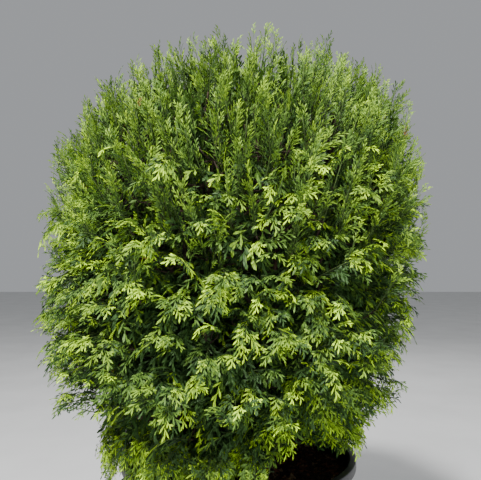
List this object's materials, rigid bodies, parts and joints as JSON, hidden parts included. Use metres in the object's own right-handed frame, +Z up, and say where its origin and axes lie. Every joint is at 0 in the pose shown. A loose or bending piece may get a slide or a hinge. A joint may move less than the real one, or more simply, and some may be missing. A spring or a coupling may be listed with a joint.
{
  "type": "potted thuja",
  "caption": "Globe thuja with a dense round crown of flat sprays on a short trunk, growing in a black plastic nursery pot filled with potting mix.",
  "frame": {"origin": "middle of the flat underside of the pot", "axes": "+Z up along the trunk, -Y towards the viewer of the picture, +X to the viewer's right"},
  "size_m": [0.5649, 0.5554, 0.8891],
  "materials": {
    "pot": "black moulded plastic with a soft sheen",
    "potting_mix": "dark brown crumbly potting mix of composted bark",
    "bark": "reddish brown stringy bark",
    "foliage": "fresh green waxy scale leaves with yellower tips"
  },
  "bodies": {
    "root": {"pot": "pot", "potting_mix": "potting_mix", "trunk": "bark", "bough_01": "bark", "bough_02": "bark", "bough_03": "bark", "bough_04": "bark", "bough_05": "bark", "bough_06": "bark", "bough_07": "bark", "bough_08": "bark", "bough_09": "bark", "bough_10": "bark", "bough_11": "bark", "bough_12": "bark", "bough_13": "bark", "bough_14": "bark", "bough_15": "bark", "bough_16": "bark", "bough_17": "bark", "bough_18": "bark", "bough_19": "bark", "bough_20": "bark", "bough_21": "bark", "bough_22": "bark", "bough_23": "bark", "bough_24": "bark", "foliage_01": "foliage", "foliage_02": "foliage", "foliage_03": "foliage", "foliage_04": "foliage", "foliage_05": "foliage", "foliage_06": "foliage", "foliage_07": "foliage", "foliage_08": "foliage", "foliage_09": "foliage", "foliage_10": "foliage", "foliage_11": "foliage", "foliage_12": "foliage", "foliage_13": "foliage", "foliage_14": "foliage", "foliage_15": "foliage", "foliage_16": "foliage", "foliage_17": "foliage", "foliage_18": "foliage", "foliage_19": "foliage", "foliage_20": "foliage", "foliage_21": "foliage", "foliage_22": "foliage", "foliage_23": "foliage", "foliage_24": "foliage"}
  },
  "joints": []
}
